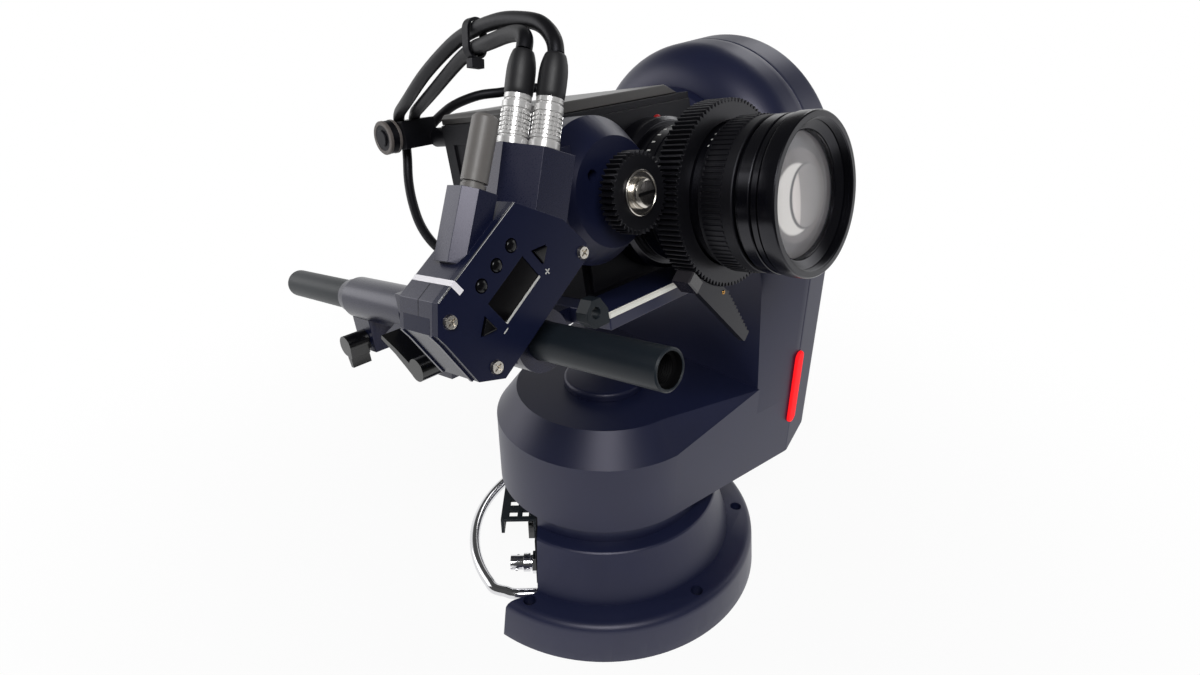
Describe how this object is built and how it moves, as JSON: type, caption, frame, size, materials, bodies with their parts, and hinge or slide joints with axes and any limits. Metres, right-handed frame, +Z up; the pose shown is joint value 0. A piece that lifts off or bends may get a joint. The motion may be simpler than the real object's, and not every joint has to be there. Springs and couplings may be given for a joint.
{
  "type": "robotic pan tilt head",
  "caption": "Motorised pan tilt camera head: round bolted base with a connector pocket, side arm, and a tilting cradle with camera, zoom lens and geared lens motor on a rod.",
  "frame": {"origin": "middle of the flange's underside, on the pan axis", "axes": "+Z up along the pan axis; the lens looks along -Y; the tilt axis runs along X with the arm on +X"},
  "size_m": [0.2767, 0.2741, 0.3325],
  "materials": {
    "paint": "satin dark blue-grey paint",
    "black_metal": "black anodised",
    "black_plastic": "matt black",
    "steel": "machined",
    "chrome": "polished",
    "camera_cover": "satin grey",
    "glass": "coated lens glass",
    "red_lamp": "lit red lens",
    "gloss_black": "gloss black",
    "rubber": "matt black",
    "antenna": "matt grey"
  },
  "bodies": {
    "base": {"base_casting": "paint", "floor_plate": "black_metal", "floor_screws": "steel", "connector_panel": "black_metal", "video_sockets": "chrome", "data_sockets": "black_plastic", "cable_bracket": "black_metal", "guard_loop": "chrome", "pan_bearing": "steel", "pan_motor": "black_metal"},
    "pan_drive": {"pan_pinion": "steel"},
    "pan": {"pan_housing": "paint", "pan_cap": "paint", "spindle": "steel", "pan_gear": "steel", "slip_ring": "black_metal", "arm_shell": "paint", "arm_cover": "paint", "cover_screws": "steel", "tally_light": "red_lamp", "tilt_motor": "black_metal", "tilt_bearing": "steel"},
    "tilt_drive": {"tilt_pinion": "steel"},
    "tilt": {"tilt_hub": "paint", "tilt_gear": "steel", "cradle": "paint", "shelf_lug": "paint", "camera_body": "black_plastic", "camera_top": "camera_cover", "mount_collar": "black_metal", "lens_barrel": "black_metal", "lens_glass": "glass", "rod_bracket": "paint", "rod": "black_metal", "rod_sleeve": "paint", "motor_case": "paint", "motor_plate": "paint", "gearbox": "paint", "rod_clamp": "paint", "motor_screws": "steel", "display_window": "gloss_black", "antenna": "antenna", "plug_shells": "chrome", "plug_boots": "rubber", "drive_cables": "rubber", "thin_leads": "rubber", "cable_fittings": "black_plastic"},
    "thumb": {"thumb_screw": "black_metal"},
    "focus": {"focus_ring": "black_plastic", "gear_strap": "black_plastic"},
    "drive": {"drive_gear": "black_metal", "gear_screw": "steel"},
    "zoom": {"zoom_ring": "black_plastic"},
    "lever_front": {"front_lever": "black_metal"},
    "lever_rear": {"rear_lever": "black_metal"},
    "button_first": {"first_button": "gloss_black"},
    "button_second": {"second_button": "gloss_black"},
    "button_third": {"third_button": "gloss_black"},
    "button_plus": {"plus_button": "gloss_black"},
    "button_minus": {"minus_button": "gloss_black"}
  },
  "joints": [
    {"name": "pan_turn", "type": "hinge", "parent": "base", "child": "pan", "pos_m": [0, 0, 0.06], "axis": [0, 0, 1], "range_deg": [-175, 175]},
    {"name": "pan_pinion_turn", "type": "hinge", "parent": "base", "child": "pan_drive", "pos_m": [0.02917, -0.02917, 0.044], "axis": [0, 0, 1], "range_deg": [-470, 470]},
    {"name": "tilt_turn", "type": "hinge", "parent": "pan", "child": "tilt", "pos_m": [0, 0, 0.2406], "axis": [-1, 0, 0], "range_deg": [-48, 60]},
    {"name": "tilt_pinion_turn", "type": "hinge", "parent": "pan", "child": "tilt_drive", "pos_m": [0.08, 0, 0.19935], "axis": [-1, 0, 0], "range_deg": [-165, 130]},
    {"name": "thumb_turn", "type": "hinge", "parent": "tilt", "child": "thumb", "pos_m": [0, -0.01743, 0.19096], "axis": [0, 0.184, 0.9829], "range_deg": [-180, 180]},
    {"name": "focus_turn", "type": "hinge", "parent": "tilt", "child": "focus", "pos_m": [0, -0.07372, 0.2544], "axis": [0, -0.9829, 0.184], "range_deg": [-30, 35]},
    {"name": "drive_turn", "type": "hinge", "parent": "tilt", "child": "drive", "pos_m": [-0.0555, -0.06855, 0.26574], "axis": [0, -0.9829, 0.184], "range_deg": [-92, 80]},
    {"name": "zoom_turn", "type": "hinge", "parent": "tilt", "child": "zoom", "pos_m": [0, -0.0924, 0.25789], "axis": [0, -0.9829, 0.184], "range_deg": [-45, 45]},
    {"name": "front_lever_turn", "type": "hinge", "parent": "tilt", "child": "lever_front", "pos_m": [-0.112, -0.01624, 0.1946], "axis": [-1, 0, 0], "range_deg": [-90, 90]},
    {"name": "rear_lever_turn", "type": "hinge", "parent": "tilt", "child": "lever_rear", "pos_m": [-0.112, 0.05358, 0.17899], "axis": [-1, 0, 0], "range_deg": [-90, 90]},
    {"name": "first_button_press", "type": "slide", "parent": "tilt", "child": "button_first", "axis": [0, 0.9829, -0.184], "range_m": [0, 0.0008], "stiffness_N_per_m": 300, "springref_m": -0.0008},
    {"name": "second_button_press", "type": "slide", "parent": "tilt", "child": "button_second", "axis": [0, 0.9829, -0.184], "range_m": [0, 0.0008], "stiffness_N_per_m": 300, "springref_m": -0.0008},
    {"name": "third_button_press", "type": "slide", "parent": "tilt", "child": "button_third", "axis": [0, 0.9829, -0.184], "range_m": [0, 0.0008], "stiffness_N_per_m": 300, "springref_m": -0.0008},
    {"name": "plus_button_press", "type": "slide", "parent": "tilt", "child": "button_plus", "axis": [0, 0.9829, -0.184], "range_m": [0, 0.0008], "stiffness_N_per_m": 300, "springref_m": -0.0008},
    {"name": "minus_button_press", "type": "slide", "parent": "tilt", "child": "button_minus", "axis": [0, 0.9829, -0.184], "range_m": [0, 0.0008], "stiffness_N_per_m": 300, "springref_m": -0.0008}
  ],
  "couplings": [
    {"joint": "pan_pinion_turn", "follows": "pan_turn", "ratio": -2.6667},
    {"joint": "tilt_pinion_turn", "follows": "tilt_turn", "ratio": -2.6667},
    {"joint": "drive_turn", "follows": "focus_turn", "ratio": -2.55}
  ]
}
